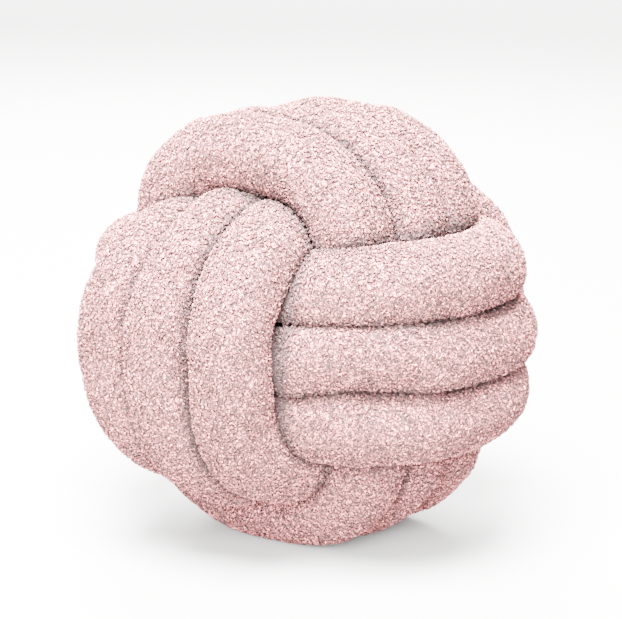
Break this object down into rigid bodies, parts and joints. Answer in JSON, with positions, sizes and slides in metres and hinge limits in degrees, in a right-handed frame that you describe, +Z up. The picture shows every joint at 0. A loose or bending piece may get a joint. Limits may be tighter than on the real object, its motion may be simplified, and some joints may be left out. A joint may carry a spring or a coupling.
{
  "type": "knot cushion",
  "caption": "Ball-shaped cushion tied from a long stuffed tube of looped-pile cloth, its bands passing over and under each other, with a small flat spot to rest on.",
  "frame": {"origin": "under the middle of the ball's box, on the surface that it rests on", "axes": "+Z up; the belt's turns lie over the +X and -X faces, the hoop's over +Y and -Y, the strap's over +Z and -Z"},
  "size_m": [0.2976, 0.3044, 0.2858],
  "materials": {
    "looped_pile": "matt curly looped pile, dusty pink"
  },
  "bodies": {
    "root": {"knot_tube": "looped_pile"}
  },
  "joints": []
}
